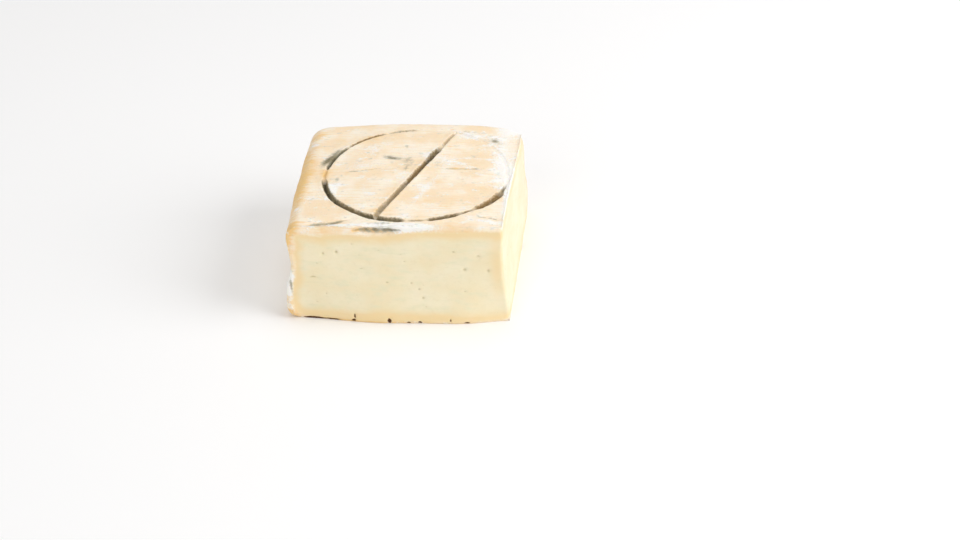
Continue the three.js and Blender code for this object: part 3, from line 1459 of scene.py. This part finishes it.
@dataclass(frozen=True)
class RindFinish:
    """Dry, bloomy rind: peach ivory with a mat's faint lines, ochre stains, white bloom and grey flecks."""

    pale: Colour = seen(252, 240, 220)
    peach: Colour = seen(248, 224, 190)
    warm: Colour = seen(243, 203, 138)
    bloom: Colour = seen(250, 248, 242)
    fleck: Colour = seen(196, 196, 184)
    roughness: float = 0.78

    def nodes(self, sheet: NodeSheet) -> Surface:
        """Add the finish's nodes.

        Args:
            sheet: the material to add them to.

        Returns:
            The rind's surface.
        """
        cloud = sheet.noise(size=13.0, detail=5.0, seed=1.0)
        streak = sheet.noise(size=1.1, detail=3.0, stretch=(11.0, 1.0, 1.0), seed=2.0)
        grain = sheet.noise(size=0.9, detail=4.0, seed=3.0)
        blotch = sheet.noise(size=4.2, detail=5.0, stretch=(1.7, 1.0, 1.0), seed=4.0)
        speck = sheet.noise(size=1.7, detail=3.0, stretch=(1.8, 1.0, 1.0), seed=5.0)
        body = sheet.mix(sheet.step(cloud, 0.36, 0.62), self.pale, self.peach)
        body = sheet.mix(sheet.step(streak, 0.45, 0.68, 0.0, 0.55), body, self.peach)
        warm = sheet.plus(sheet.attribute(Tone.WARM), sheet.step(blotch, 0.50, 0.74, 0.0, 0.42))
        warm_mask = sheet.broken(warm, streak, 1.1, 0.12, 1.20)
        body = sheet.mix(warm_mask, body, self.warm)
        white = sheet.plus(sheet.attribute(Tone.WHITE), sheet.step(blotch, 0.50, 0.30, 0.0, 0.50))
        bloom_mask = sheet.broken(white, grain, 1.0, 0.16, 0.80)
        body = sheet.mix(bloom_mask, body, self.bloom)
        fleck = sheet.times(sheet.step(speck, 0.57, 0.74), sheet.step(blotch, 0.60, 0.40, 0.0, 0.60))
        body = sheet.mix(fleck, body, self.fleck)
        height = sheet.plus(sheet.times(grain, 0.7), sheet.times(streak, 1.1))
        height = sheet.plus(height, sheet.times(bloom_mask, 0.35))
        rough = sheet.step(grain, 0.3, 0.7, self.roughness - 0.08, self.roughness + 0.08)
        return Surface(body, rough, height)


@dataclass(frozen=True)
class PasteFinish:
    """Moist ivory paste of the cut faces: warmer towards the rind, with faint mottling, and tiny holes
    painted darker inside as their shade.
    """

    ivory: Colour = seen(243, 233, 203)
    cream: Colour = seen(240, 226, 189)
    shade: Colour = seen(233, 226, 193)
    ripe: Colour = seen(243, 213, 156)
    # Painted shade inside the holes and pits; also a faint random dapple.
    hole_shade_and_dapple: Colour = seen(205, 190, 146)
    ripe_reach: float = 6.5
    roughness: float = 0.46

    def nodes(self, sheet: NodeSheet) -> Surface:
        """Add the finish's nodes.

        Args:
            sheet: the material to add them to.

        Returns:
            The paste's surface.
        """
        cloud = sheet.noise(size=13.0, detail=4.0, stretch=(1.5, 1.5, 1.0), seed=5.0)
        smear = sheet.noise(size=3.2, detail=4.0, stretch=(2.8, 2.8, 1.0), seed=6.0)
        grain = sheet.noise(size=0.7, detail=3.0, seed=7.0)
        dapple = sheet.noise(size=1.6, detail=4.0, stretch=(1.6, 1.6, 1.0), seed=9.0)
        specks = sheet.cells(size=3.4, stretch=(1.3, 1.3, 1.0), seed=8.0)
        body = sheet.mix(sheet.step(cloud, 0.32, 0.68), self.cream, self.ivory)
        body = sheet.mix(sheet.step(smear, 0.48, 0.74, 0.0, 0.85), body, self.shade)
        body = sheet.mix(sheet.step(dapple, 0.50, 0.75, 0.0, 0.10), body, self.hole_shade_and_dapple)
        depth = sheet.attribute(Layer.PASTE)
        uneven = sheet.plus(depth, sheet.times(sheet.minus(cloud, 0.5), 7.0))
        ripe = sheet.plus(sheet.step(uneven, self.ripe_reach, 0.0), sheet.attribute(Tone.WARM), kept=True)
        body = sheet.mix(sheet.times(ripe, 0.72), body, self.ripe)
        # Tiny pits and the holes: dented by the bump, and painted darker inside as their shade.
        chosen = sheet.times(sheet.step(specks, 0.11, 0.04), sheet.step(smear, 0.54, 0.64))
        ragged = sheet.plus(sheet.attribute(Layer.EYE), sheet.minus(dapple, 0.5))
        holes = sheet.larger(sheet.step(ragged, 0.30, 1.0, 0.0, 0.95), sheet.times(chosen, 0.4))
        body = sheet.mix(sheet.times(holes, 0.8), body, self.hole_shade_and_dapple)
        height = sheet.plus(sheet.times(smear, 0.55), sheet.times(grain, 0.18))
        height = sheet.minus(height, sheet.times(chosen, 0.9))
        rough = sheet.step(smear, 0.35, 0.65, self.roughness - 0.05, self.roughness + 0.08)
        return Surface(body, rough, height)


@dataclass(frozen=True)
class MouldFinish:
    """Mould and crust: olive grey in the grooves, smeared grey green, and brown specks at the foot. Its grey
    also lays in painted shade under the front's lip, and its brown a painted contact shadow at the front's
    foot.
    """

    dark: Colour = seen(72, 64, 46)
    olive: Colour = seen(146, 136, 108)
    brown: Colour = seen(162, 130, 82)
    smear: Colour = seen(184, 182, 164)
    crust_and_contact_shadow: Colour = seen(92, 56, 26)
    roughness: float = 0.92

    def groove(self, sheet: NodeSheet, under: Surface) -> Surface:
        """Lay the mould of the press mark's grooves over a surface.

        Args:
            sheet: the material to add to.
            under: the surface below.

        Returns:
            The surface with the mould on it.
        """
        grain = sheet.noise(size=1.1, detail=4.0, seed=11.0)
        patchy = sheet.noise(size=4.0, detail=3.0, seed=12.0)
        across = sheet.attribute(Layer.GROOVE)
        mould = sheet.attribute(Layer.MOULD)
        ragged = sheet.plus(across, sheet.times(sheet.minus(grain, 0.5), 0.9))
        inside = sheet.step(ragged, 1.55, 0.80)
        strength = sheet.times(mould, sheet.step(patchy, 0.25, 0.55, 0.75, 1.25), kept=True)
        mask = sheet.times(inside, strength, kept=True)
        deep = sheet.step(sheet.plus(ragged, sheet.times(patchy, 2.2)), 2.15, 1.05)
        tint = sheet.mix(sheet.attribute(Layer.TAN), self.olive, self.brown)
        tint = sheet.mix(sheet.times(deep, mould), tint, self.dark)
        return self.over(sheet, under, mask, tint)

    def smears(self, sheet: NodeSheet, under: Surface) -> Surface:
        """Lay the grey smears and the brown crust over a surface, with the painted shade under the front's
        lip and the painted contact shadow at its foot.

        Args:
            sheet: the material to add to.
            under: the surface below.

        Returns:
            The surface with both on it.
        """
        grain = sheet.noise(size=1.2, detail=5.0, stretch=(1.5, 1.0, 1.0), seed=13.0)
        grey = sheet.attribute(Tone.GREY)
        mask = sheet.broken(grey, grain, 1.5, 0.25, 1.15)
        tint = sheet.mix(sheet.step(grey, 0.55, 1.15), self.smear, self.olive)
        tint = sheet.mix(sheet.step(grain, 0.60, 0.42, 0.0, 0.45), tint, self.dark)
        greyed = self.over(sheet, under, mask, tint)
        brown = sheet.broken(sheet.attribute(Tone.BROWN), grain, 0.8, 0.45, 0.85)
        return self.over(sheet, greyed, brown, self.crust_and_contact_shadow)

    def over(self, sheet: NodeSheet, under: Surface, mask: Socket, tint: object) -> Surface:
        """Lay one tint over a surface.

        Args:
            sheet: the material to add to.
            under: the surface below.
            mask: where the tint lies.
            tint: its colour.

        Returns:
            The surface with the tint on it.
        """
        return Surface(
            sheet.mix(mask, under.colour, tint), sheet.blend(mask, under.rough, self.roughness), under.height
        )


@dataclass(frozen=True)
class CheeseFinish:
    """The whole finish: rind where the cheese grew it, paste where the knife went, and mould on top.

    Args:
        rind: finish of the rind.
        paste: finish of the cut faces.
        mould: mould and crust.
        glow: how much light goes into the body.
        glow_reach: how far red, green and blue go, as shares of glow_scale.
        glow_scale: that distance in metres.
        moist: how much of the cut faces' moist film there is.
        moist_roughness: how rough the film is.
        shine: how strong the plain reflection is.
        bump: height of the finest relief, in metres.
    """

    rind: RindFinish = RindFinish()
    paste: PasteFinish = PasteFinish()
    mould: MouldFinish = MouldFinish()
    glow: float = 0.12
    glow_reach: tuple[float, float, float] = (1.0, 0.62, 0.30)
    glow_scale: float = 0.0035
    moist: float = 0.16
    moist_roughness: float = 0.32
    shine: float = 0.35
    bump: float = 0.00022

    def make(self) -> bpy.types.Material:
        """Build the material.

        Returns:
            The finished material.
        """
        material = bpy.data.materials.new("cheese_finish")
        sheet = NodeSheet(material)
        rind, paste = self.rind.nodes(sheet), self.paste.nodes(sheet)
        edge = sheet.noise(size=1.4, detail=3.0, seed=15.0)
        cut = sheet.broken(sheet.attribute(Layer.PASTE), edge, 1.6, -1.0, 1.2)
        body = Surface(
            sheet.mix(cut, rind.colour, paste.colour),
            sheet.blend(cut, rind.rough, paste.rough),
            sheet.blend(cut, rind.height, paste.height),
        )
        whole = self.mould.smears(sheet, self.mould.groove(sheet, body))
        shader = sheet.node("ShaderNodeBsdfPrincipled")
        sheet.feed(shader.inputs["Base Color"], whole.colour)
        sheet.feed(shader.inputs["Roughness"], whole.rough)
        sheet.feed(shader.inputs["Coat Weight"], sheet.times(cut, self.moist))
        shader.inputs["Coat Roughness"].default_value = self.moist_roughness
        shader.inputs["Subsurface Weight"].default_value = self.glow
        shader.inputs["Subsurface Radius"].default_value = self.glow_reach
        shader.inputs["Subsurface Scale"].default_value = self.glow_scale
        shader.inputs["Specular IOR Level"].default_value = self.shine
        relief = sheet.node("ShaderNodeBump")
        relief.inputs["Distance"].default_value = self.bump
        relief.inputs["Strength"].default_value = 1.0
        sheet.feed(relief.inputs["Height"], whole.height)
        sheet.feed(shader.inputs["Normal"], relief.outputs["Normal"])
        output = sheet.node("ShaderNodeOutputMaterial")
        sheet.feed(output.inputs["Surface"], shader.outputs["BSDF"])
        return material


# The studio -----------------------------------------------------------------------------------------------


@dataclass(frozen=True)
class Lamp:
    """A soft square light that looks at the cheese, in degrees, metres and watts."""

    name: str
    azimuth: float
    elevation: float
    distance: float
    size: float
    power: float
    colour: tuple[float, float, float] = (1.0, 1.0, 1.0)


@dataclass(frozen=True)
class Viewpoint:
    """Where the camera stands, in degrees and metres, and its lens in millimetres.

    Args:
        azimuth: how far it stands to the right of straight in front.
        elevation: how far it looks down.
        roll: how far it is turned about its own line of sight.
        distance: how far it is from the place that it aims at.
        aim: that place, as a share of the cheese's width, depth and height from the middle of its underside.
    """

    azimuth: float = 6.9
    elevation: float = 31.0
    roll: float = -3.05
    distance: float = 1.1753
    aim: tuple[float, float, float] = (0.383, -0.470, 0.505)
    lens: float = 96.0
    sensor: float = 36.0


def toward(azimuth: float, elevation: float) -> Vector:
    """Point away from the cheese.

    Args:
        azimuth: degrees round it, 0 in front of it and 90 at its right.
        elevation: degrees above the floor.

    Returns:
        The direction, of length 1.
    """
    a, e = math.radians(azimuth), math.radians(elevation)
    return Vector((math.sin(a) * math.cos(e), -math.cos(a) * math.cos(e), math.sin(e)))


@dataclass
class Studio:
    """The pale floor, the soft lights and the camera.

    Args:
        block: the cheese that stands in it.
        view: where the camera stands.
        lamps: the soft lights.
        sky: how strong the even light of the room is.
        floor_size: how wide the floor is, in metres.
        floor_colour: the floor's colour.
        floor_roughness: how rough the floor is.
    """

    block: Block
    view: Viewpoint
    lamps: tuple[Lamp, ...] = (
        Lamp("key", 78.0, 33.0, 1.3, 0.9, 10.2, (1.0, 0.992, 1.0)),
        Lamp("front_fill", -24.0, 28.0, 1.8, 1.3, 6.0),
        Lamp("overhead", 190.0, 72.0, 1.4, 1.0, 4.0),
    )
    sky: float = 0.5
    floor_size: float = 12.0
    floor_colour: Colour = (0.985, 0.98, 0.975, 1.0)
    floor_roughness: float = 0.9

    def floor(self) -> None:
        """Lay the floor at the height of the cheese's underside."""
        bm = bmesh.new()
        bmesh.ops.create_grid(bm, x_segments=1, y_segments=1, size=self.floor_size / 2)
        bmesh.ops.translate(bm, vec=(0.0, 0.0, self.block.low.z), verts=bm.verts)
        mesh = bpy.data.meshes.new("floor")
        bm.to_mesh(mesh)
        bm.free()
        floor = bpy.data.objects.new("floor", mesh)
        bpy.context.scene.collection.objects.link(floor)
        material = bpy.data.materials.new("pale_floor")
        material.use_nodes = True
        shader = material.node_tree.nodes["Principled BSDF"]
        shader.inputs["Base Color"].default_value = self.floor_colour
        shader.inputs["Roughness"].default_value = self.floor_roughness
        mesh.materials.append(material)

    def lights(self) -> None:
        """Hang the lamps and light the room evenly."""
        middle = self.block.to_frame(Vector((0.0, 0.0, self.block.half.z)))
        for lamp in self.lamps:
            data = bpy.data.lights.new(lamp.name, "AREA")
            data.shape, data.size, data.energy, data.color = "SQUARE", lamp.size, lamp.power, lamp.colour
            light = bpy.data.objects.new(lamp.name, data)
            way = toward(lamp.azimuth, lamp.elevation)
            light.location = middle + way * lamp.distance
            light.rotation_mode = "QUATERNION"
            light.rotation_quaternion = (-way).to_track_quat("-Z", "Y")
            bpy.context.scene.collection.objects.link(light)
        world = bpy.data.worlds.new("room")
        world.use_nodes = True
        sky = world.node_tree.nodes["Background"]
        sky.inputs["Color"].default_value = (1.0, 1.0, 1.0, 1.0)
        sky.inputs["Strength"].default_value = self.sky
        bpy.context.scene.world = world

    def camera(self) -> None:
        """Stand the camera in its place."""
        view, size = self.view, self.block.half * 2
        data = bpy.data.cameras.new("camera")
        data.lens, data.sensor_width = view.lens, view.sensor
        camera = bpy.data.objects.new("camera", data)
        away = toward(view.azimuth, view.elevation)
        aim = self.block.to_frame(Vector(share * side for share, side in zip(view.aim, size)))
        camera.location = aim + away * view.distance
        camera.rotation_mode = "QUATERNION"
        roll = Quaternion((0.0, 0.0, 1.0), math.radians(view.roll))
        camera.rotation_quaternion = (-away).to_track_quat("-Z", "Y") @ roll
        bpy.context.scene.collection.objects.link(camera)
        bpy.context.scene.camera = camera

    def grade(self) -> None:
        """Show colours as they are, without a film curve."""
        bpy.context.scene.view_settings.view_transform = "Standard"


def main() -> None:
    """Build the studio and the cheese, and dress the cheese."""
    logging.basicConfig(level=logging.INFO, format="%(name)s: %(message)s")
    low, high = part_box(NODE)
    block = Block(Vector(low), Vector(high), Settling(), Edges())
    studio = Studio(block, Viewpoint())
    studio.camera()
    studio.floor()
    studio.lights()
    studio.grade()
    log.info("studio: floor, %d lamps and camera", len(studio.lamps))
    piece = Cheese(block, PressMark()).build()
    piece.data.materials.append(CheeseFinish().make())
    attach(piece, "root")
    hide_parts(NODE)
    log.info("%s: %d faces, for node %s", piece.name, len(piece.data.polygons), NODE)


if __name__ == "__main__":
    main()
